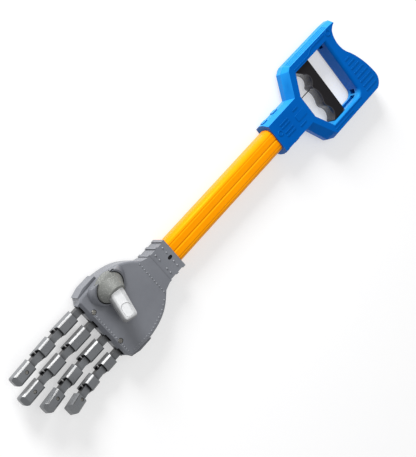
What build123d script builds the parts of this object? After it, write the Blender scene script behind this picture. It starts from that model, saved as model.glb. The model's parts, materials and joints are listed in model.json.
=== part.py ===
"""Toy robot arm: a pistol-style ring handle, a fluted tube and a jointed right hand.

Frame: +X runs forward to the fingertips, +Y towards the little finger, +Z is
the palm side.  The arm lies on its back with the lowest face at Z = 0.
All lengths are millimetres.
"""
import os
from math import cos, radians, sin

from build123d import *

os.makedirs("parts", exist_ok=True)

# ---- overall ---------------------------------------------------------------
LENGTH = 480.0
X_REAR = -LENGTH / 2
Z_MID = 11.0                     # height of the tube axis and of every parting plane

# ---- tube -------------------------------------------------------------------
TUBE_W, TUBE_T, TUBE_R, TUBE_WALL = 24.8, 18.0, 6.4, 1.8
TUBE_X = (-128.0, 78.0)

# ---- handle -----------------------------------------------------------------
HANDLE_T = 22.0
NECK_X = -101.8                  # front rim of the neck
NECK_HALF = 17.9
BELT = 3.4                       # half height of the upright band round the handle
ARM_Y = (-43.8, 45.6)            # outer faces of the two straight arms at the belt
ARM_LEAN = 0.42                  # how far the arms slope in per millimetre of rise
BAY_HALF = 32.5                  # half height of the opening behind the trigger
BAY_X = (-210.2, -150.5)
SLOT_X = (-216.8, -170.4)        # guide slots of the trigger
SLOT_W, SLOT_DEPTH = 7.0, 4.6
HANDLE_SCREWS = ((-219.0, -38.0), (-163.5, -39.0), (-163.5, 39.0), (-222.0, 39.0), (-141.0, 9.5))

# ---- trigger ----------------------------------------------------------------
TRIGGER_REAR = -184.3
TRIGGER_HALF = 31.6
TRIGGER_Z = (5.4, 19.4)          # back and front faces of the trigger
FACE_T = 0.9
WIRE_Y, WIRE_R = -6.5, 0.5

# ---- palm -------------------------------------------------------------------
PALM_TOP = 22.9
PALM_FRONT = 149.8
PALM_HALF, BAND_HALF = 36.8, 39.0
PALM_WALL = 2.2
COLLAR_X = (52.4, 76.0)
COLLAR_HALF, COLLAR_TOP = 14.9, 21.7
PALM_SCREWS = ((144.0, -17.8), (144.0, 17.8))
BACK_SCREWS = ((92.0, -20.0), (92.0, 20.0))

# ---- fingers ----------------------------------------------------------------
KNUCKLE_X = 147.3
ROD_R, PIN_R, BORE_GAP = 0.9, 0.8, 0.07
FINGER_W = 10.4
SHELL_Z = (-5.4, 5.8)            # dorsal and palm faces measured from the pin
SHELL_WALL = 1.3
TONGUE_W = 6.4
CUT = 10.4                       # pin to the near edge of the shell
TIP_SCREW = 13.0                 # tip end to the screw
FINGERS = {                      # y, three pin distances, curl of middle and tip links
    "index": (-25.5, (29.5, 26.0, 31.2), (8.0, 0.0)),
    "middle": (-8.2, (32.3, 28.3, 32.1), (4.6, 2.4)),
    "ring": (9.0, (29.2, 26.5, 30.0), (11.0, 4.0)),
    "little": (26.3, (24.0, 22.8, 25.8), (9.0, 14.0)),
}

# ---- thumb ------------------------------------------------------------------
SOCKET_C = Vector(120.0, -23.8, 28.5)
SOCKET_TILT = 25.0               # lean of the swivel axis towards the little finger
SOCKET_R, SOCKET_DEPTH = 15.0, 5.4
THUMB_DIR = Vector(0.28, 0.92, 0.29).normalized()
THUMB_LEN, THUMB_W, THUMB_T = 31.6, 15.8, 12.4
SWIVEL = Vector(0, sin(radians(SOCKET_TILT)), cos(radians(SOCKET_TILT)))


# ---- helpers ----------------------------------------------------------------
def prism(face, z0, z1):
    """A face of the XY plane extruded between two heights."""
    return extrude(Pos(0, 0, z0) * face, z1 - z0)


def block(x0, x1, y0, y1, z0, z1):
    """A plain box between two corners."""
    return Pos((x0 + x1) / 2, (y0 + y1) / 2, (z0 + z1) / 2) * Box(x1 - x0, y1 - y0, z1 - z0)


def rod_x(x0, x1, y, z, r):
    """A cylinder along X."""
    return Pos((x0 + x1) / 2, y, z) * Rot(0, 90, 0) * Cylinder(r, x1 - x0)


def rod_y(x, y0, y1, z, r):
    """A cylinder along Y."""
    return Pos(x, (y0 + y1) / 2, z) * Rot(90, 0, 0) * Cylinder(r, y1 - y0)


def rod_z(x, y, z0, z1, r):
    """A cylinder along Z."""
    return Pos(x, y, (z0 + z1) / 2) * Cylinder(r, z1 - z0)


def screw(head_r, head_h, shank_r, length):
    """Cross-head screw; the head's outer face is Z = 0 and the shank points down."""
    body = Pos(0, 0, -head_h / 2) * Cylinder(head_r, head_h)
    body = chamfer(body.edges().group_by(Axis.Z)[-1], head_r * 0.2)
    body += Pos(0, 0, -(head_h + length) / 2) * Cylinder(shank_r, length - head_h)
    for turn in (0, 90):
        body -= Rot(0, 0, 45 + turn) * Box(head_r * 1.25, head_r * 0.28, head_h)
    return body


def save(name, shape):
    """Write one sub-part to its own file."""
    export_step(shape, f"parts/{name}.step")


# ---- tube -------------------------------------------------------------------
def tube_section(grow=0.0):
    return RectangleRounded(TUBE_T + 2 * grow, TUBE_W + 2 * grow, TUBE_R + grow)


def along_tube(face, x0, x1):
    """A YZ section run along X between two stations."""
    return extrude(Plane(origin=(x0, 0, Z_MID), x_dir=(0, 0, -1), z_dir=(1, 0, 0)) * face, x1 - x0)


def tube():
    section = tube_section() - tube_section(-TUBE_WALL)
    for side in (-1, 1):
        for y in (-7.4, 0.0, 7.4):
            section -= Pos(side * (TUBE_T / 2 + 1.1), y) * Circle(1.6)
    return along_tube(section, *TUBE_X)


# ---- handle -----------------------------------------------------------------
def handle_outline(front=False):
    """Outer edge of the ring handle and neck, at mid height or on the front face."""
    low, high = ARM_Y
    if front:
        lean = ARM_LEAN * (HANDLE_T / 2 - BELT)
        low, high = low + lean, high - lean
        spots = [(-231.6, low + 0.6), (-225.0, low), (-160.5, low), (-157.0, -38.0),
                 (-144.5, -15.3), (NECK_X, -15.3), (NECK_X, 15.3), (-144.5, 15.3),
                 (-157.0, 38.5), (-160.5, high), (-229.5, high)]
        rear = [((-235.6, 38.0), (-238.0, 28.0)), ((-234.6, 11.5), (-227.5, -5.0)),
                ((-221.6, -20.0), (-224.5, -33.6)), ((-227.6, -36.8), (-231.6, -38.8)),
                ((-232.3, -39.4), spots[0])]
    else:
        spots = [(-233.4, low + 0.6), (-225.0, low), (-159.0, low), (-151.5, -40.2),
                 (-139.5, -NECK_HALF), (NECK_X, -NECK_HALF), (NECK_X, NECK_HALF),
                 (-138.5, NECK_HALF), (-149.5, 41.6), (-157.0, high), (-230.5, high)]
        rear = [((-237.8, 39.8), (X_REAR, 28.6)), ((-236.6, 12.0), (-229.4, -5.4)),
                ((-223.4, -20.4), (-226.2, -34.6)), ((-229.4, -38.2), (-233.6, -40.8)),
                ((-234.4, -41.9), spots[0])]
    arcs = []
    here = spots[-1]
    for middle, there in rear:
        arcs.append(ThreePointArc(here, middle, there))
        here = there
    return make_face([*Polyline(*spots).edges(), *arcs])


def bay_outline():
    """The hand opening, one rounded corner at the rear on the little-finger side."""
    x0, x1 = BAY_X
    face = make_face(Polyline(
        (x1, -12.0), (x1, 13.0), (x1 - 10.5, BAY_HALF), (x0, BAY_HALF),
        (x0, -BAY_HALF), (x1 - 12.0, -BAY_HALF), (x1, -12.0),
    ))
    corner = face.vertices().sort_by_distance((x0, BAY_HALF))[0]
    return fillet(corner, 7.0)


def grip_pocket():
    """Hollow of the rear bar."""
    return make_face(Polyline(
        (-215.5, -16.0), (-218.5, -16.0), (-223.0, -5.0), (-229.0, 9.0), (-233.5, 21.0),
        (-215.5, 21.0), (-215.5, -16.0),
    ))


def handle_block(side):
    """Upright belt and the sloping sides that rise to one face of the handle."""
    z0, z1 = sorted((Z_MID, Z_MID + side * BELT))
    rise = loft([
        Pos(0, 0, Z_MID + side * BELT) * handle_outline(),
        Pos(0, 0, Z_MID + side * HANDLE_T / 2) * handle_outline(front=True),
    ], ruled=True)
    return prism(handle_outline(), z0, z1) + rise


def rounded_bay(block_half, side):
    """Cut the hand opening and round its rear and lower rim."""
    shell = block_half - prism(bay_outline(), -1, 2 * Z_MID + 1)
    face = shell.faces().sort_by(Axis.Z)[-1 if side > 0 else 0]
    rear = face.edges().filter_by(Axis.Y).sort_by_distance((BAY_X[0], 0, Z_MID))[0]
    lower = face.edges().filter_by(Axis.X).sort_by_distance((-180, BAY_HALF, Z_MID))[0]
    corner = face.edges().filter_by(GeomType.CIRCLE).sort_by_distance((BAY_X[0], BAY_HALF, Z_MID))[0]
    return fillet([rear, corner, lower], 3.4 if side > 0 else 5.0)


def side_flutes():
    """Fine grooves along the two straight arms."""
    grooves = []
    for side, edge in zip((-1, 1), ARM_Y):
        for up in (0.0, 5.4, 7.4, 9.4):
            y = edge - side * (ARM_LEAN * max(0.0, up - BELT) - 0.4)
            for z in {Z_MID - up, Z_MID + up}:
                grooves.append(rod_x(-222.0, -162.0, y, z, 0.75))
    return grooves


def neck_bands():
    """Two raised hoops on the flanks of the neck."""
    hoops = []
    for x0, x1 in ((-110.5, -104.5), (-126.0, -119.5)):
        hoops.append(block(x0, x1, -NECK_HALF - 0.9, NECK_HALF + 0.9, Z_MID - 2.6, Z_MID + 2.6))
    return hoops


def handle_half(side):
    """One half shell; side is +1 for the front (palm side) and -1 for the back."""
    shell = rounded_bay(handle_block(side), side)
    z0, z1 = sorted((Z_MID, Z_MID + side * HANDLE_T))
    for hoop in neck_bands():
        shell += hoop & block(-150, -90, -30, 30, z0, z1)
    for groove in side_flutes():
        shell -= groove
    inner = sorted((Z_MID, Z_MID + side * (HANDLE_T / 2 - 2.6)))
    shell -= prism(grip_pocket(), *inner)
    shell -= along_tube(tube_section(0.1), TUBE_X[0] - 0.5, NECK_X + 1)
    shell -= block(-143.0, TUBE_X[0], WIRE_Y - 5, WIRE_Y + 5, Z_MID - 5, Z_MID + 5)
    shell -= rod_x(-160.0, -140.0, WIRE_Y, Z_MID, 1.72)
    shell -= rod_x(-145.0, -142.0, WIRE_Y, Z_MID, 2.9)
    low, high = Z_MID - SLOT_W / 2, Z_MID + SLOT_W / 2
    for wall in (-1, 1):
        y0, y1 = sorted((wall * (BAY_HALF - 1), wall * (BAY_HALF + SLOT_DEPTH)))
        shell -= block(*SLOT_X, y0, y1, low, high)
        y0, y1 = sorted((wall * 26.5, wall * BAY_HALF))
        shell -= block(SLOT_X[0], BAY_X[0] + 2, y0, y1, low, high)
    return shell


def grip_ribs(z0, z1):
    """Eight raised bars across the rear grip."""
    bars = []
    for row in range(8):
        y = -3.4 + 5.5 * row
        reach = (-223.6, -227.0, -229.6, -231.8, -233.6, -234.4, -234.6, -233.0)[row]
        bars.append(pill(reach, -216.5, y, 1.5, z0, z1))
    return bars


def pill(x0, x1, y, wide, z0, z1):
    """A raised bar along X with rounded ends."""
    return prism(Pos((x0 + x1) / 2, y) * SlotOverall(x1 - x0, wide), z0, z1)


def ring(x, y, r, wide, z0, z1):
    return rod_z(x, y, z0, z1, r) - rod_z(x, y, z0 - 1, z1 + 1, r - wide)


def neck_relief(z0, z1):
    """Raised bars, the small boss and the panel on the front of the neck."""
    marks = [pill(-124.8, -112.4, y, 1.3, z0, z1) for y in (-7.5, -4.0, 1.5, 5.5)]
    marks.append(ring(-108.4, -2.0, 2.9, 0.9, z0, z1))
    marks.append(pill(-140.8, -133.2, -8.2, 1.2, z0, z1))
    marks.append(pill(-139.5, -130.4, 8.4, 1.2, z0, z1))
    marks.append(prism(Pos(-138.6, 0.4) * RectangleRounded(14.0, 7.2, 1.2), z0, z1 - 0.1))
    return marks


def rim_lines(z0, z1):
    """Raised lines that follow the opening on both straight arms."""
    lines = [pill(-207.0, -160.5, 35.0, 1.2, z0, z1), pill(-190.0, -160.5, 38.4, 1.1, z0, z1)]
    lines += [pill(-186.5, -163.0, -35.0, 1.2, z0, z1), pill(-214.5, -192.0, -38.2, 1.2, z0, z1)]
    step = Polyline((-186.0, -34.5), (-192.5, -37.7), (-192.5, -38.7), (-185.6, -35.5), (-186.0, -34.5))
    return [*lines, prism(make_face(step), z0, z1)]


def handle_front_shell():
    top = Z_MID + HANDLE_T / 2
    shell = handle_half(1)
    relief = grip_ribs(top - 0.4, top + 0.5) + neck_relief(top - 0.4, top + 0.5)
    for bar in relief + rim_lines(top - 0.4, top + 0.4):
        shell += bar
    for x, y in HANDLE_SCREWS:
        shell -= rod_z(x, y, Z_MID - 1, Z_MID + 8.2, 1.24)
    shell += ring(-219.4, -36.6, 3.3, 1.0, top - 0.4, top + 0.45)
    return shell


def handle_back_shell():
    shell = handle_half(-1)
    for x, y in HANDLE_SCREWS:
        shell -= rod_z(x, y, -1, Z_MID + 1, 1.3)
        shell -= rod_z(x, y, -1, 3.0, 3.0)
    return shell


def handle_screws():
    one = Rot(180, 0, 0) * screw(2.8, 2.2, 1.2, 17.6)
    return Compound([Pos(x, y, 0.8) * one for x, y in HANDLE_SCREWS])


def wire_guide():
    """Flanged bush that leads the wire out of the neck."""
    bush = rod_x(-151.3, -143.0, WIRE_Y, Z_MID, 1.7) + rod_x(-144.5, -143.0, WIRE_Y, Z_MID, 2.8)
    return bush - rod_x(-152, -142, WIRE_Y, Z_MID, WIRE_R + 0.25)


# ---- trigger ----------------------------------------------------------------
def trigger_outline(shift=0.0, rear=TRIGGER_REAR):
    """Three finger scallops with rounded ridges and a longer first end, a flat back."""
    h = TRIGGER_HALF
    points = [
        (-163.2, -h), (-170.2, -24.4), (-169.9, -9.9), (-170.3, -6.1),
        (-169.9, 9.7), (-170.4, 16.0), (-168.8, 30.2), (-167.4, h),
    ]
    points = [(x + shift, y) for x, y in points]
    middles = {1: (-174.2, -18.8), 2: (-169.5, -8.0), 3: (-172.0, 1.8), 4: (-169.4, 13.0), 5: (-172.8, 23.0)}
    front = []
    for n, (here, there) in enumerate(zip(points, points[1:])):
        if n in middles:
            x, y = middles[n]
            front.append(ThreePointArc(here, (x + shift, y), there))
        else:
            front.append(Line(here, there))
    back = Polyline(points[-1], (rear, h), (rear, -h), points[0])
    return make_face([*front, *back.edges()])


def trigger_body():
    body = prism(trigger_outline(-FACE_T - 0.03), *TRIGGER_Z)
    rear_edges = body.edges().filter_by(Axis.Y).group_by(Axis.X)[0]
    body = fillet(rear_edges, 0.8)
    return body - rod_x(-178.0, -160.0, WIRE_Y, Z_MID, 1.6)


def trigger_face():
    strip = prism(trigger_outline() - trigger_outline(-FACE_T, rear=TRIGGER_REAR), *TRIGGER_Z)
    return strip - rod_x(-180.0, -160.0, WIRE_Y, Z_MID, WIRE_R + 0.1)


def trigger_runners():
    runners = []
    for side in (-1, 1):
        y0, y1 = sorted((side * TRIGGER_HALF, side * (BAY_HALF + SLOT_DEPTH - 0.6)))
        runners.append(block(-182.5, -171.0, y0, y1, Z_MID - 3.2, Z_MID + 3.2))
    return Compound(runners)


def pull_wire():
    return rod_x(-176.5, 117.0, WIRE_Y, Z_MID, WIRE_R)


def wire_crimps():
    rear = rod_x(-176.0, -172.5, WIRE_Y, Z_MID, 1.5) - rod_x(-177, -170, WIRE_Y, Z_MID, WIRE_R)
    front = rod_x(112.2, 115.7, WIRE_Y, Z_MID, 1.5) - rod_x(110, 118, WIRE_Y, Z_MID, WIRE_R)
    return Compound([rear, front])


def cord_yoke():
    """Plate inside the palm that spreads one wire to four finger cords."""
    plate = block(109.2, 112.2, -14.5, 14.5, Z_MID - 2.0, Z_MID + 2.0)
    plate = fillet(plate.edges().filter_by(Axis.X), 1.4)
    plate -= rod_x(108, 113, WIRE_Y, Z_MID, WIRE_R + 0.05)
    for y in (-12.0, -2.0, 5.0, 12.0):
        plate -= rod_x(108, 113, y, Z_MID, 0.8)
    return plate


# ---- palm -------------------------------------------------------------------
def palm_outline(inset=0.0):
    """Plan of the hand body without the wrist collar, drawn inset for the cavity."""
    flank = [(80.0, 17.2), (84.0, 20.8), (88.5, 24.8), (98.0, 31.0), (108.0, 34.6), (121.0, PALM_HALF)]
    flank = [(x + inset * 0.5, y - inset) for x, y in flank]
    half, front = PALM_HALF - inset, PALM_FRONT - inset
    x_wide = flank[-1][0]
    right = Spline(flank)
    left = Spline([(x, -y) for x, y in flank])
    nose = Polyline((x_wide, half), (144.5, half - 1.4), (front, 30.5), (front, -30.5),
                    (144.5, 1.4 - half), (x_wide, -half))
    x0, y0 = flank[0]
    wrist = Polyline((x0, -y0), (73.0, -COLLAR_HALF + inset), (73.0, COLLAR_HALF - inset), (x0, y0))
    return make_face([right, left, *nose.edges(), *wrist.edges()])


def side_bands(z0, z1):
    """Raised bands on both flanks of the palm."""
    bands = []
    for side in (-1, 1):
        face = make_face(Polyline(
            (121.0, side * 34), (121.5, side * BAND_HALF), (136.0, side * BAND_HALF),
            (145.5, side * 36.4), (144.0, side * 33), (121.0, side * 34),
        ))
        bands.append(prism(face, z0, z1))
    return bands


def palm_cavity(z0, z1):
    return prism(palm_outline(PALM_WALL), z0, z1) & block(81.0, 136.5, -40, 40, z0, z1)


def knuckle_slots():
    """Front openings the finger tongues swing in."""
    cuts = []
    for y, _, _ in FINGERS.values():
        half = FINGER_W / 2 - SHELL_WALL
        cuts.append(block(136.0, 152.0, y - half, y + half, Z_MID - 4.4, Z_MID + 8.0))
    return cuts


def knuckle_cheeks():
    """Small lugs on both sides of every tongue that carry the knuckle rod."""
    lugs = []
    for y, _, _ in FINGERS.values():
        half = FINGER_W / 2 - SHELL_WALL
        for side in (-1, 1):
            y0, y1 = sorted((y + side * half, y + side * (half + 1.7)))
            lug = rod_y(KNUCKLE_X, y0, y1, Z_MID, 3.0)
            lugs.append(lug + block(KNUCKLE_X - 5, KNUCKLE_X, y0, y1, Z_MID - 3, Z_MID + 3))
    return lugs


def collar(z0, z1):
    """Rectangular wrist collar with three ribs."""
    x0, x1 = COLLAR_X
    body = block(x0, x1, -COLLAR_HALF, COLLAR_HALF, z0, z1)
    for x, wide in ((x0, 3.2), (61.8, 2.6), (71.6, 2.6)):
        body += block(x, x + wide, -COLLAR_HALF - 1, COLLAR_HALF + 1, z0, z1)
    return body


def socket_plane(height=0.0):
    return Plane(origin=SOCKET_C + SWIVEL * height, x_dir=(1, 0, 0), z_dir=SWIVEL)


def thumb_mound():
    """Swelling round the thumb socket that flares out into the palm."""
    foot = Ellipse(31.0, 22.0)
    skirt = loft([
        Pos(119.0, -20.0, PALM_TOP - 0.5) * foot,
        Pos(119.3, -21.5, PALM_TOP + 1.0) * Rot(-4, 0, 0) * Ellipse(24.5, 19.0),
        Pos(119.6, -23.0, PALM_TOP + 3.8) * Rot(-11, 0, 0) * Ellipse(20.4, 17.4),
    ])
    skirt += prism(Pos(119.0, -20.0) * foot, PALM_TOP - 2.4, PALM_TOP - 0.5)
    root = Pos(117.5, -19.6, 12.0) * Ellipse(28.0, 18.4)
    waist = socket_plane(-3.0) * Circle(SOCKET_R + 3.2)
    cone = loft([root, waist]) + loft([waist, socket_plane() * Circle(SOCKET_R + 1.7)])
    cone &= block(80, 150, -60, 60, PALM_TOP - 2.4, 60)
    return (skirt + cone) & prism(palm_outline(0.4), PALM_TOP - 2.4, 60)


def palm_front_shell():
    shell = prism(palm_outline(), Z_MID, PALM_TOP)
    top_edges = shell.edges().group_by(Axis.Z)[-1]
    rim = [edge for edge in top_edges if 86 < edge.center().X < PALM_FRONT - 1]
    shell = fillet(rim, 2.2)
    slope = Plane.XZ * make_face(Polyline(
        (PALM_FRONT + 1, PALM_TOP - 5.4), (PALM_FRONT, PALM_TOP - 5.4), (PALM_FRONT - 3.2, PALM_TOP),
        (PALM_FRONT - 3.2, PALM_TOP + 1), (PALM_FRONT + 1, PALM_TOP + 1), (PALM_FRONT + 1, PALM_TOP - 5.4)))
    shell -= extrude(slope, 50, both=True)
    for band in side_bands(Z_MID, Z_MID + 8.6):
        shell += band
    shell += thumb_mound()
    shell -= palm_cavity(Z_MID - 1, PALM_TOP - 2.4)
    cup = extrude(socket_plane(-SOCKET_DEPTH - 1.5) * Circle(SOCKET_R + 1.7), SOCKET_DEPTH)
    shell += cup & block(80, 150, -36, 60, Z_MID + 2, 60)
    shell += collar(Z_MID, COLLAR_TOP)
    shell -= extrude(socket_plane(-SOCKET_DEPTH) * Circle(SOCKET_R), 30)
    shell -= extrude(socket_plane(-SOCKET_DEPTH - 4) * Circle(1.3), 10)
    shell -= extrude(socket_plane(-SOCKET_DEPTH - 9.5) * Circle(3.6), 8.0)
    shell -= along_tube(tube_section(0.1), COLLAR_X[0] - 1, 81.5)
    for slot in knuckle_slots():
        shell -= slot
    for lug in knuckle_cheeks():
        shell += lug & block(130, 160, -50, 50, Z_MID, 40)
    shell -= rod_y(KNUCKLE_X, -34, 34, Z_MID, ROD_R + 0.02)
    for x, y in PALM_SCREWS:
        shell -= rod_z(x, y, Z_MID - 1, 40, 1.3)
        shell -= rod_z(x, y, PALM_TOP - 1.6, 40, 2.5)
    for x, y in BACK_SCREWS:
        shell += rod_z(x, y, Z_MID, PALM_TOP - 1, 2.8)
        shell -= rod_z(x, y, Z_MID - 1, PALM_TOP - 3.5, 1.24)
    return shell - prism(Pos(58.6, 0, 0) * Ellipse(2.6, 1.8), Z_MID + 5, 40)


def palm_back_shell():
    shell = prism(palm_outline(), 0.0, Z_MID)
    wedge = Plane.XZ * make_face(Polyline(
        (PALM_FRONT + 2, Z_MID - 2.5), (PALM_FRONT, Z_MID - 2.5), (141.0, 0.0), (141.0, -2),
        (PALM_FRONT + 2, -2), (PALM_FRONT + 2, Z_MID - 2.5)))
    shell -= extrude(wedge, 60, both=True)
    lower = shell.edges().group_by(Axis.Z)[0].filter_by(Axis.Y, reverse=True)
    shell = chamfer(lower, 2.0) if lower else shell
    for band in side_bands(Z_MID - 7.0, Z_MID):
        shell += band
    shell -= palm_cavity(2.0, Z_MID + 1)
    shell += collar(0.3, Z_MID)
    shell -= along_tube(tube_section(0.1), COLLAR_X[0] - 1, 81.5)
    for slot in knuckle_slots():
        shell -= slot
    for lug in knuckle_cheeks():
        shell += lug & block(130, 160, -50, 50, 0, Z_MID)
    shell -= rod_y(KNUCKLE_X, -34, 34, Z_MID, ROD_R + 0.02)
    for x, y in PALM_SCREWS:
        shell -= rod_z(x, y, 3.0, Z_MID + 1, 1.24)
    for x, y in BACK_SCREWS:
        shell += rod_z(x, y, 1.0, Z_MID, 3.6)
        shell -= rod_z(x, y, -1, Z_MID + 1, 1.3)
        shell -= rod_z(x, y, -1, 3.0, 2.8)
    return shell


def palm_screws():
    front = screw(2.3, 1.4, 1.2, 15.5)
    back = Rot(180, 0, 0) * screw(2.6, 2.0, 1.2, 16.5)
    group = [Pos(x, y, PALM_TOP - 0.2) * front for x, y in PALM_SCREWS]
    group += [Pos(x, y, 1.0) * back for x, y in BACK_SCREWS]
    return Compound(group)


def knuckle_rod():
    return rod_y(KNUCKLE_X, -33.6, 33.6, Z_MID, ROD_R)


def rivet(x, y, z, r=0.7):
    """Domed rivet head sitting on a flat face."""
    return Pos(x, y, z) * (Sphere(r) & Pos(0, 0, r) * Box(4 * r, 4 * r, 2 * r))


def row(start, end, count):
    """Evenly spaced stations between two points, both ends included."""
    (x0, y0), (x1, y1) = start, end
    steps = [i / (count - 1) for i in range(count)]
    return [(x0 + (x1 - x0) * t, y0 + (y1 - y0) * t) for t in steps]


def palm_rivets():
    """Rivet heads across the wrist end, along the flank and behind the fingers."""
    spots = row((84.7, -17.0), (84.7, 17.0), 11)
    spots += row((90.0, 22.6), (97.6, 27.4), 3)
    spots += row((101.0, 29.1), (117.6, 33.0), 6)
    spots += row((121.0, 33.3), (140.2, 32.2), 7)
    spots += row((144.8, -13.0), (144.8, 13.0), 9)
    spots += row((144.8, 21.6), (144.8, 29.4), 4)
    return Compound([rivet(x, y, PALM_TOP) for x, y in spots])


def collar_rivets():
    """Two rows of larger rivet heads on the wrist collar."""
    heads = [rivet(x, y, COLLAR_TOP, 0.95) for x in (58.3, 67.8) for y in (-11.3, -5.8, 4.8, 9.8)]
    return Compound(heads)


def wrist_plug():
    """Dark plug sunk in the oval hole of the collar."""
    return prism(Pos(58.6, 0, 0) * Ellipse(2.5, 1.7), Z_MID + TUBE_T / 2 + 0.1, COLLAR_TOP - 0.9)


# ---- thumb ------------------------------------------------------------------
def thumb_frame(distance):
    side = Vector(1, 0, 0)
    side = (side - THUMB_DIR * side.dot(THUMB_DIR)).normalized()
    return Plane(origin=SOCKET_C + SWIVEL * 3.2 + THUMB_DIR * distance, x_dir=side, z_dir=THUMB_DIR)


def thumb_base():
    """Round foot in the socket and the domed shoulder that leans over the palm."""
    r = SOCKET_R - 0.9
    foot = extrude(socket_plane(-SOCKET_DEPTH + 0.35) * Circle(r), SOCKET_DEPTH - 0.35)
    mean = (THUMB_DIR + SWIVEL).normalized()
    middle = Plane(origin=SOCKET_C + SWIVEL * 1.8 + THUMB_DIR * 0.6, x_dir=(1, 0, 0), z_dir=SWIVEL)
    neck = Plane(origin=SOCKET_C + SWIVEL * 4.2 + mean * 4.6, x_dir=(1, 0, 0), z_dir=mean)
    dome = loft([socket_plane() * Circle(r), middle * Circle(12.6), neck * Circle(8.6)], ruled=True)
    base = foot + dome
    return base - extrude(socket_plane(-SOCKET_DEPTH) * Circle(1.15), 5.0)


def nail_groove():
    """Outline of the nail, a shallow groove on the palm-up face of the thumb."""
    frame = thumb_frame(22.0)
    up = frame.y_dir if frame.y_dir.Z > 0 else frame.y_dir * -1
    top = Plane(origin=frame.origin + up * (THUMB_T / 2 - 1.1), x_dir=frame.x_dir, z_dir=up)
    return extrude(top * (RectangleRounded(9.4, 13.0, 4.0) - RectangleRounded(8.0, 11.6, 3.4)), 3.0)


def thumb_tip():
    """Rounded plated tip with a grooved nail."""
    column = loft([
        thumb_frame(1.0) * RectangleRounded(THUMB_W, THUMB_T, 4.6),
        thumb_frame(THUMB_LEN - 1.0) * RectangleRounded(THUMB_W - 1.8, THUMB_T - 1.2, 4.2),
    ])
    column = fillet(column.faces().sort_by(Axis.Y)[-1].edges(), 3.6)
    column -= extrude(socket_plane(-8) * Circle(SOCKET_R - 0.9), 8.1)
    return column - nail_groove() - thumb_base()


def thumb_screw():
    """Pan screw and washer that hold the thumb from inside the palm."""
    bolt = Rot(180, 0, 0) * screw(3.0, 1.6, 1.1, 7.9)
    return Plane(origin=SOCKET_C - SWIVEL * (SOCKET_DEPTH + 3.2), x_dir=(1, 0, 0), z_dir=SWIVEL) * bolt


# ---- finger links, built with the near pin at the origin and +X distal --------
def link_side(points, width):
    """A side profile in XZ given the full width in Y."""
    return extrude(Plane.XZ * make_face(Polyline(*points, points[0])), width / 2, both=True)


def tongue(bore_r):
    """Hinge tongue with a rounded lower heel and a square upper heel."""
    low, high = -3.0, SHELL_Z[1] - 2.2
    body = link_side([(0, low), (CUT + 3, low), (CUT + 3, high), (-3.2, high), (-3.0, 0), (0, 0)], TONGUE_W)
    body += rod_y(0, -TONGUE_W / 2, TONGUE_W / 2, 0, 3.0)
    return body - rod_y(0, -TONGUE_W, TONGUE_W, 0, bore_r)


def shell_body(profile):
    """Outer skin of a link from its side profile, edges broken along its length."""
    body = link_side(profile, FINGER_W)
    body = chamfer(body.edges().filter_by(Axis.X).group_by(Axis.Z)[-1], 1.6)
    return fillet(body.edges().filter_by(Axis.X).group_by(Axis.Z)[0], 1.8)


def link(reach, bore_r):
    """Hollow link with a tongue behind and an open fork in front."""
    z0, z1 = SHELL_Z
    end = reach + 3.2
    body = shell_body([(CUT - 2.2, z0), (end, z0), (end, z1), (CUT, z1)])
    inner = FINGER_W / 2 - SHELL_WALL
    body -= block(CUT + 2.0, reach + 5, -inner, inner, z0 + 1.3, z1 - 1.6)
    mouth = Plane.XZ * make_face([
        *Polyline((end + 1, -1.6), (end + 1, z1 + 1), (reach - 2.9, z1 + 1), (reach - 2.9, z1)).edges(),
        ThreePointArc((reach - 2.9, z1), (reach - 1.2, 1.2), (end + 1, -1.6)),
    ])
    body -= extrude(mouth, FINGER_W, both=True)
    body += tongue(bore_r)
    return body - rod_y(reach, -FINGER_W, FINGER_W, 0, PIN_R + 0.01)


def tip_link(reach):
    """Closed fingertip with a rounded, sloping end and a screw recess."""
    z0, z1 = SHELL_Z
    body = shell_body([(CUT - 2.2, z0), (reach - 1.2, z0), (reach, z0 + 1.6), (reach, z1 - 4.6),
                       (reach - 3.9, z1), (CUT, z1)])
    plan = Pos(reach / 2, 0) * RectangleRounded(reach, FINGER_W, 3.2)
    body &= prism(plan, z0 - 1, z1 + 1)
    body += tongue(PIN_R + BORE_GAP)
    body -= rod_z(reach - TIP_SCREW, 0.4, z1 - 1.2, z1 + 1, 1.7)
    return body - rod_z(reach - TIP_SCREW, 0.4, z0 + 2, z1, 0.85)


def tip_screw(reach):
    return Pos(reach - TIP_SCREW, 0.4, SHELL_Z[1] - 0.5) * screw(1.55, 0.7, 0.8, 6.5)


def link_pin():
    return rod_y(0, -FINGER_W / 2, FINGER_W / 2, 0, PIN_R)


def place_finger(name):
    """Write every piece of one finger in its resting curl."""
    y, reach, curl = FINGERS[name]
    base = Pos(KNUCKLE_X, y, Z_MID)
    middle = base * Pos(reach[0], 0, 0) * Rot(0, -curl[0], 0)
    tip = middle * Pos(reach[1], 0, 0) * Rot(0, -curl[1], 0)
    save(f"{name}_proximal", base * link(reach[0], ROD_R + BORE_GAP))
    save(f"{name}_middle", middle * link(reach[1], PIN_R + BORE_GAP))
    save(f"{name}_tip", tip * tip_link(reach[2]))
    save(f"{name}_tip_screw", tip * tip_screw(reach[2]))
    save(f"{name}_near_pin", middle * link_pin())
    save(f"{name}_far_pin", tip * link_pin())


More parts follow.
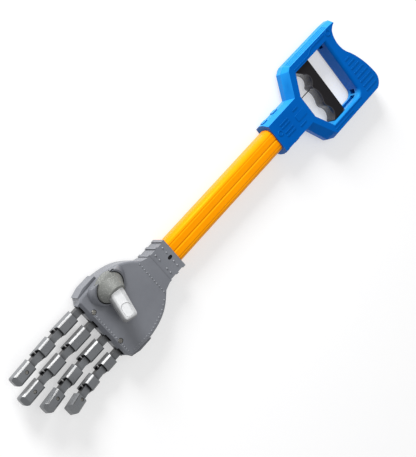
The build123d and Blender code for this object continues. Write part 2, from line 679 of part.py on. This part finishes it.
PARTS = {
    "tube": tube,
    "handle_front_shell": handle_front_shell,
    "handle_back_shell": handle_back_shell,
    "handle_screws": handle_screws,
    "wire_guide": wire_guide,
    "trigger_body": trigger_body,
    "trigger_face": trigger_face,
    "trigger_runners": trigger_runners,
    "pull_wire": pull_wire,
    "wire_crimps": wire_crimps,
    "cord_yoke": cord_yoke,
    "palm_front_shell": palm_front_shell,
    "palm_back_shell": palm_back_shell,
    "palm_screws": palm_screws,
    "palm_rivets": palm_rivets,
    "collar_rivets": collar_rivets,
    "wrist_plug": wrist_plug,
    "knuckle_rod": knuckle_rod,
    "thumb_base": thumb_base,
    "thumb_tip": thumb_tip,
    "thumb_screw": thumb_screw,
}

for node, build in PARTS.items():
    save(node, build())
for finger in FINGERS:
    place_finger(finger)
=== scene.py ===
import json
import math

import bpy
from mathutils import Matrix, Vector

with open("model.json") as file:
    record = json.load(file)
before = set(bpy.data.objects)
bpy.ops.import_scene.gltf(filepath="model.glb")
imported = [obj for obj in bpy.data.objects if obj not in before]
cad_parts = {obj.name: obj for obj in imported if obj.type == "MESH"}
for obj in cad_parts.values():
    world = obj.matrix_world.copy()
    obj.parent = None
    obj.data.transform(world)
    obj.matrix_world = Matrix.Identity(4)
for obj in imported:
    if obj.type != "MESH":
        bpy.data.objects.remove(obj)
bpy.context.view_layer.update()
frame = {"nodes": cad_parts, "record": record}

MM = 0.001
INNER_HALF = 4.2 * MM            # half width that holds a hinge tongue and its gaps
SIDEWAYS = 0.6                   # sideways part of a normal, above which a face is a flank
HIGHLIT_EDGE = (0.52, 0.60)            # pointiness over which an edge goes from plain to a full painted highlight
TURNED = (0.15, 0.75)            # turn to the thumb side, toward the key lamp, over which a face takes its painted light
# near-black painted shadow for the finger-link gaps and the hinge tongue flanks
PAINTED_SHADOW_BLACK = (0.010, 0.010, 0.011)
FINGER_Y = {"index": -25.5, "middle": -8.2, "ring": 9.0, "little": 26.3}   # centre lines, mm
NODES = frame["nodes"]
SLOT_OF = {s["node"]: s["material_slot"] for s in frame["record"]["subparts"]}

# where the camera stands, what it looks at and which way is right in the frame
CAMERA_AT = Vector((0.3307, -0.2756, 0.8015))
CAMERA_TARGET = Vector((0.0083, 0.0123, 0.0110))
CAMERA_RIGHT = Vector((-0.62650, 0.61460, 0.47934))
LENS = 76.4


# ---- materials ---------------------------------------------------------------
def add(tree, kind, **inputs):
    """A shader node with constants set on its sockets."""
    node = tree.nodes.new(kind)
    for name, value in inputs.items():
        node.inputs[name.replace("_", " ")].default_value = value
    return node


def grain(tree, scale, detail=4.0, roughness=0.6):
    """Noise in object space, as a 0 to 1 value."""
    where = add(tree, "ShaderNodeTexCoord")
    noise = add(tree, "ShaderNodeTexNoise", Scale=scale, Detail=detail, Roughness=roughness)
    tree.links.new(where.outputs["Object"], noise.inputs["Vector"])
    return noise.outputs["Fac"]


def remap(tree, value, low, high, start=0.3, stop=0.7):
    node = tree.nodes.new("ShaderNodeMapRange")
    node.inputs["From Min"].default_value = start
    node.inputs["From Max"].default_value = stop
    node.inputs["To Min"].default_value = low
    node.inputs["To Max"].default_value = high
    tree.links.new(value, node.inputs["Value"])
    return node.outputs["Result"]


def mix(tree, factor, first, second):
    node = tree.nodes.new("ShaderNodeMix")
    node.data_type = "RGBA"
    tree.links.new(factor, node.inputs["Factor"])
    for socket, colour in ((node.inputs["A"], first), (node.inputs["B"], second)):
        if isinstance(colour, tuple):
            socket.default_value = (*colour, 1.0)
        else:
            tree.links.new(colour, socket)
    return node.outputs["Result"]


def bump(tree, height, strength, distance, under=None):
    node = tree.nodes.new("ShaderNodeBump")
    node.inputs["Strength"].default_value = strength
    node.inputs["Distance"].default_value = distance
    tree.links.new(height, node.inputs["Height"])
    if under is not None:
        tree.links.new(under, node.inputs["Normal"])
    return node.outputs["Normal"]


def new_material(name):
    material = bpy.data.materials.new(name)
    material.use_nodes = True
    tree = material.node_tree
    tree.nodes.clear()
    shader = tree.nodes.new("ShaderNodeBsdfPrincipled")
    out = tree.nodes.new("ShaderNodeOutputMaterial")
    tree.links.new(shader.outputs["BSDF"], out.inputs["Surface"])
    return material, tree, shader


def hollows(tree, reach):
    """1 on open faces, falling to 0 in gaps and inside corners."""
    node = tree.nodes.new("ShaderNodeAmbientOcclusion")
    node.inputs["Distance"].default_value = reach
    node.samples = 8
    return node.outputs["AO"]


def facing_key_light(tree):
    """How far a face turns to the thumb side of the part, where the key lamp stands, 1 when it faces
    straight there.
    """
    where = add(tree, "ShaderNodeTexCoord")
    axes = tree.nodes.new("ShaderNodeSeparateXYZ")
    tree.links.new(where.outputs["Normal"], axes.inputs["Vector"])
    return math_node(tree, "MULTIPLY", axes.outputs["Y"], -1.0)


def moulded(name, colour, deep, roughness, grain_scale=900.0, grain_depth=0.00004, coat=0.0,
            painted_edge_highlight=None, specular=0.35, shade=None, reach=0.006, depth=(0.15, 0.75),
            painted_sparkle=None, gleam=None, painted_flank=None):
    """Injection-moulded plastic: broad tint and fine skin grain.

    Painted light and shade: the edge colour is a painted highlight on sharp edges, shade is painted
    shade in the hollows, the flank colour is painted light on faces turned to the key lamp on the
    thumb side, the speck colour is painted sparkle as pale dots; gleam tints the real highlights.
    """
    material, tree, shader = new_material(name)
    broad = remap(tree, grain(tree, 22.0), 0.0, 1.0)
    base = mix(tree, broad, colour, deep)
    # painted sparkle: pale dots stand in for glints of light on the rough skin
    if painted_sparkle is not None:
        dots = remap(tree, grain(tree, grain_scale, 2.0), 0.0, 1.0, 0.56, 0.66)
        base = mix(tree, dots, base, painted_sparkle)
    # painted highlight: sharp edges, found by pointiness, take a paler colour as if catching the light
    if painted_edge_highlight is not None:
        edge = tree.nodes.new("ShaderNodeNewGeometry")
        highlit_edge = remap(tree, edge.outputs["Pointiness"], 0.0, 0.6, *HIGHLIT_EDGE)
        base = mix(tree, highlit_edge, base, painted_edge_highlight)
    # painted light: faces turned to the key lamp on the thumb side take a paler colour
    if painted_flank is not None:
        base = mix(tree, remap(tree, facing_key_light(tree), 0.0, 1.0, *TURNED), base, painted_flank)
    # painted shade: the shade colour is mixed in where ambient occlusion finds gaps and inside corners
    if shade is not None:
        base = mix(tree, remap(tree, hollows(tree, reach), 0.0, 1.0, *depth), shade, base)
    tree.links.new(base, shader.inputs["Base Color"])
    smear = remap(tree, grain(tree, 60.0, 6.0), roughness * 0.85, roughness * 1.15)
    tree.links.new(smear, shader.inputs["Roughness"])
    shader.inputs["Specular IOR Level"].default_value = specular
    if gleam is not None:
        shader.inputs["Specular Tint"].default_value = (*gleam, 1.0)
    shader.inputs["Coat Weight"].default_value = coat
    shader.inputs["Coat Roughness"].default_value = 0.2
    fine = bump(tree, grain(tree, grain_scale, 3.0), 0.35, grain_depth)
    wavy = bump(tree, grain(tree, 90.0, 2.0), 0.10, 0.00015, fine)
    tree.links.new(wavy, shader.inputs["Normal"])
    return material


def math_node(tree, operation, first, second=None):
    """One arithmetic step; numbers are set on the sockets, sockets are linked."""
    node = tree.nodes.new("ShaderNodeMath")
    node.operation = operation
    for socket, value in zip(node.inputs, (first, second)):
        if isinstance(value, (int, float)):
            socket.default_value = value
        elif value is not None:
            tree.links.new(value, socket)
    return node.outputs["Value"]


def finger_grey(name, centre):
    """Satin grey link with painted shade in its gaps; painted shadow turns the flanks of its hinge tongue
    near black.
    """
    material = moulded(name, (0.150, 0.157, 0.166), (0.116, 0.122, 0.130), 0.27, specular=0.75,
                       shade=PAINTED_SHADOW_BLACK, reach=0.008, depth=(0.55, 1.0))
    tree = material.node_tree
    shader = next(node for node in tree.nodes if node.type == "BSDF_PRINCIPLED")
    outside = shader.inputs["Base Color"].links[0].from_socket
    where = add(tree, "ShaderNodeTexCoord")
    axes = tree.nodes.new("ShaderNodeSeparateXYZ")
    tree.links.new(where.outputs["Object"], axes.inputs["Vector"])
    facing = tree.nodes.new("ShaderNodeSeparateXYZ")
    tree.links.new(where.outputs["Normal"], facing.inputs["Vector"])
    # painted shadow: sideways faces of the hinge tongue, between the fork cheeks, are painted near black
    offset = math_node(tree, "ABSOLUTE", math_node(tree, "SUBTRACT", axes.outputs["Y"], centre))
    inner = math_node(tree, "LESS_THAN", offset, INNER_HALF)
    sideways = math_node(tree, "GREATER_THAN", math_node(tree, "ABSOLUTE", facing.outputs["Y"]), SIDEWAYS)
    painted_flank = math_node(tree, "MULTIPLY", inner, sideways)
    tree.links.new(mix(tree, painted_flank, outside, PAINTED_SHADOW_BLACK), shader.inputs["Base Color"])
    return material


def plated_thumb():
    """Bright plating on the faces turned palm-up, dull grey on the faces turned down the sides."""
    material, tree, shader = new_material("thumb_silver")
    where = add(tree, "ShaderNodeTexCoord")
    facing = tree.nodes.new("ShaderNodeVectorMath")
    facing.operation = "DOT_PRODUCT"
    tree.links.new(where.outputs["Normal"], facing.inputs[0])
    facing.inputs[1].default_value = (-0.20, -0.29, 0.93)
    plated = remap(tree, facing.outputs["Value"], 0.0, 1.0, 0.55, 0.78)
    patchy = remap(tree, grain(tree, 150.0, 5.0), 0.0, 1.0)
    bright = mix(tree, patchy, (0.80, 0.81, 0.82), (0.64, 0.65, 0.66))
    dull = mix(tree, patchy, (0.26, 0.265, 0.27), (0.17, 0.172, 0.178))
    tree.links.new(mix(tree, plated, dull, bright), shader.inputs["Base Color"])
    tree.links.new(remap(tree, plated, 0.10, 0.45, 0.0, 1.0), shader.inputs["Metallic"])
    tree.links.new(remap(tree, plated, 0.42, 0.30, 0.0, 1.0), shader.inputs["Roughness"])
    tree.links.new(bump(tree, grain(tree, 500.0, 3.0), 0.25, 0.00006), shader.inputs["Normal"])
    return material


def metal(name, colour, deep, roughness, grain_scale=700.0):
    """Bright metal with fine scratches and dull patches."""
    material, tree, shader = new_material(name)
    base = mix(tree, remap(tree, grain(tree, 120.0), 0.0, 1.0), colour, deep)
    tree.links.new(base, shader.inputs["Base Color"])
    shader.inputs["Metallic"].default_value = 1.0
    dull = remap(tree, grain(tree, 200.0, 6.0), roughness * 0.7, roughness * 1.4)
    tree.links.new(dull, shader.inputs["Roughness"])
    scratch = bump(tree, grain(tree, grain_scale, 2.0), 0.2, 0.00003)
    tree.links.new(scratch, shader.inputs["Normal"])
    return material


def make_materials():
    return {
        "blue_plastic": moulded("blue_plastic", (0.000, 0.112, 0.475), (0.000, 0.092, 0.415), 0.36,
                                shade=(0.000, 0.020, 0.130),
                                specular=0.22, gleam=(0.05, 0.60, 1.0), painted_flank=(0.020, 0.290, 0.700)),
        "orange_tube": moulded("orange_tube", (0.98, 0.320, 0.0), (0.92, 0.265, 0.0), 0.34,
                               shade=(0.75, 0.13, 0.0), painted_edge_highlight=(1.0, 0.50, 0.01), reach=0.003,
                               specular=0.30, gleam=(1.0, 0.70, 0.02)),
        "palm_grey": moulded("palm_grey", (0.205, 0.214, 0.238), (0.165, 0.173, 0.195), 0.33,
                             shade=(0.030, 0.032, 0.038), specular=0.5, depth=(0.25, 0.90)),
        "rivet_grey": moulded("rivet_grey", (0.28, 0.29, 0.32), (0.22, 0.23, 0.25), 0.26,
                              painted_edge_highlight=(0.60, 0.62, 0.66), specular=0.6),
        "thumb_rough": moulded("thumb_rough", (0.215, 0.222, 0.210), (0.160, 0.165, 0.156), 0.50,
                               grain_scale=1100.0, grain_depth=0.00022, painted_sparkle=(0.34, 0.35, 0.33),
                               shade=(0.03, 0.03, 0.028)),
        "thumb_silver": plated_thumb(),
        "trigger_black": moulded("trigger_black", (0.0075, 0.0068, 0.0080), (0.011, 0.010, 0.012), 0.5,
                                 specular=0.2),
        "trigger_gloss": moulded("trigger_gloss", (0.026, 0.025, 0.028), (0.042, 0.040, 0.043), 0.24,
                                 coat=0.35),
        "steel": metal("steel", (0.50, 0.50, 0.50), (0.38, 0.38, 0.38), 0.30),
        "screw_steel": metal("screw_steel", (0.42, 0.41, 0.38), (0.28, 0.27, 0.25), 0.32),
    }


# ---- CAD nodes ---------------------------------------------------------------
WELD_GAP = 0.01 * MM
SHARP_ANGLE = 38.0               # degrees; sharper edges are softened
FINE_BEVEL_MM = 0.22
BEVEL_MM = {
    "handle_front_shell": 0.5, "handle_back_shell": 0.5, "palm_front_shell": 0.5,
    "palm_back_shell": 0.5, "trigger_body": 0.4, "tube": 0.3,
}


def dress(name, node, materials):
    """Material and soft edges for one CAD node."""
    node.data.materials.clear()
    if SLOT_OF[name] == "finger_grey":
        node.data.materials.append(materials[name.split("_")[0]])
    else:
        node.data.materials.append(materials[SLOT_OF[name]])
    weld = node.modifiers.new("weld", "WELD")
    weld.merge_threshold = WELD_GAP
    soft = node.modifiers.new("soft_edges", "BEVEL")
    soft.width = BEVEL_MM.get(name, FINE_BEVEL_MM) * MM
    soft.segments = 2
    soft.limit_method = "ANGLE"
    soft.angle_limit = math.radians(SHARP_ANGLE)
    soft.use_clamp_overlap = True
    soft.harden_normals = True


# ---- stage -------------------------------------------------------------------
def add_floor():
    bpy.ops.mesh.primitive_plane_add(size=8.0, location=(0.0, 0.0, 0.0))
    floor = bpy.context.object
    floor.name = "floor"
    material, tree, shader = new_material("floor")
    shade = mix(tree, remap(tree, grain(tree, 3.0), 0.0, 1.0), (0.60, 0.60, 0.60), (0.58, 0.58, 0.59))
    tree.links.new(shade, shader.inputs["Base Color"])
    shader.inputs["Roughness"].default_value = 0.75
    shader.inputs["Emission Color"].default_value = (1.0, 1.0, 1.0, 1.0)
    shader.inputs["Emission Strength"].default_value = 0.45
    floor.data.materials.append(material)


def area_light(name, at, size, power, target=(0.0, 0.0, 0.0)):
    data = bpy.data.lights.new(name, "AREA")
    data.energy = power
    data.size = size
    lamp = bpy.data.objects.new(name, data)
    bpy.context.scene.collection.objects.link(lamp)
    lamp.location = at
    lamp.rotation_mode = "QUATERNION"
    lamp.rotation_quaternion = (Vector(target) - Vector(at)).to_track_quat("-Z", "Y")
    return lamp


def light_stage():
    world = bpy.data.worlds.new("world")
    bpy.context.scene.world = world
    world.use_nodes = True
    sky = world.node_tree.nodes["Background"]
    sky.inputs["Color"].default_value = (1.0, 1.0, 1.0, 1.0)
    sky.inputs["Strength"].default_value = 0.40
    area_light("key", (-0.25, -1.30, 0.62), 0.55, 24.0)
    area_light("top", (0.1, -0.2, 1.8), 1.2, 5.0)
    area_light("fill", (0.9, 0.7, 0.9), 1.0, 2.0)


def place_camera():
    data = bpy.data.cameras.new("camera")
    data.lens = LENS
    data.sensor_width = 36.0
    data.clip_end = 20.0
    camera = bpy.data.objects.new("camera", data)
    bpy.context.scene.collection.objects.link(camera)
    back = (CAMERA_AT - CAMERA_TARGET).normalized()
    right = (CAMERA_RIGHT - back * CAMERA_RIGHT.dot(back)).normalized()
    up = back.cross(right)
    turn = Matrix((right, up, back)).transposed().to_4x4()
    camera.matrix_world = Matrix.Translation(CAMERA_AT) @ turn
    bpy.context.scene.camera = camera


def main():
    materials = make_materials()
    for finger, y in FINGER_Y.items():
        materials[finger] = finger_grey(f"finger_grey_{finger}", y * MM)
    for name, node in NODES.items():
        dress(name, node, materials)
    add_floor()
    light_stage()
    place_camera()
    bpy.context.scene.view_settings.view_transform = "Standard"


main()
